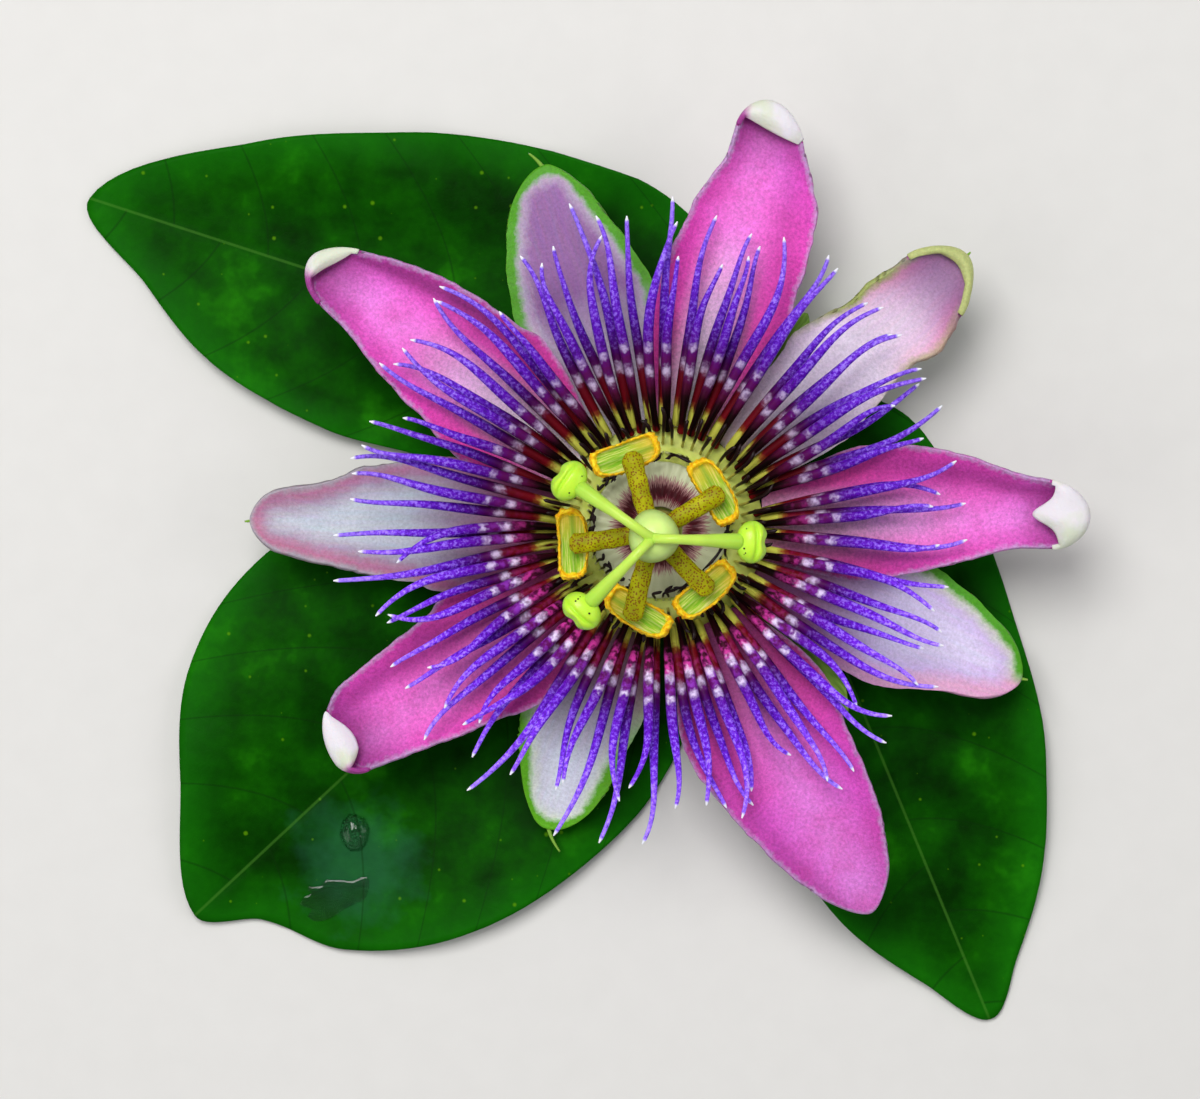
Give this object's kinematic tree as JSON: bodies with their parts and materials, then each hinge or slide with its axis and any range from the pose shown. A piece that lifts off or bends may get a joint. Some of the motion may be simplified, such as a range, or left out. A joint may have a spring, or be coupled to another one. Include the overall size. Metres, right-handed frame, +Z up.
{
  "type": "passion flower",
  "caption": "Open passion flower with banded thread corona, stamens and stigmas, cut with a short piece of vine and its three-lobed leaf, lying on the leaf.",
  "frame": {"origin": "middle of the whole object's box at the ground plane, on the flat underside of the leaf", "axes": "+Z up out of the flower's face; +Y towards the petal that points up in the plan view, +X to the right in that view"},
  "size_m": [0.1298, 0.119, 0.0363],
  "materials": {
    "leaf_green": "satin",
    "stem_green": "satin",
    "bract_green": "matte",
    "cup_green": "satin",
    "sepal_mauve": "matte",
    "petal_magenta": "matte",
    "corona_violet": "satin",
    "corona_maroon": "satin",
    "operculum_maroon": "matte",
    "column_green": "satin",
    "ovary_green": "satin",
    "stamen_green": "matte",
    "anther_yellow": "matte",
    "style_green": "satin",
    "stigma_lime": "satin"
  },
  "bodies": {
    "root": {"anther_1": "anther_yellow", "anther_2": "anther_yellow", "anther_3": "anther_yellow", "anther_4": "anther_yellow", "anther_5": "anther_yellow", "bract_1": "bract_green", "bract_2": "bract_green", "bract_3": "bract_green", "column": "column_green", "flower_cup": "cup_green", "inmost_corona": "corona_maroon", "leaf": "leaf_green", "operculum": "operculum_maroon", "outer_corona": "corona_violet", "ovary": "ovary_green", "peduncle": "stem_green", "petal_1": "petal_magenta", "petal_2": "petal_magenta", "petal_3": "petal_magenta", "petal_4": "petal_magenta", "petal_5": "petal_magenta", "petiole": "stem_green", "second_corona": "corona_violet", "sepal_1": "sepal_mauve", "sepal_2": "sepal_mauve", "sepal_3": "sepal_mauve", "sepal_4": "sepal_mauve", "sepal_5": "sepal_mauve", "short_corona": "corona_maroon", "stamen_filament_1": "stamen_green", "stamen_filament_2": "stamen_green", "stamen_filament_3": "stamen_green", "stamen_filament_4": "stamen_green", "stamen_filament_5": "stamen_green", "stigma_1": "stigma_lime", "stigma_2": "stigma_lime", "stigma_3": "stigma_lime", "style_1": "style_green", "style_2": "style_green", "style_3": "style_green", "vine_stem": "stem_green"}
  },
  "joints": []
}
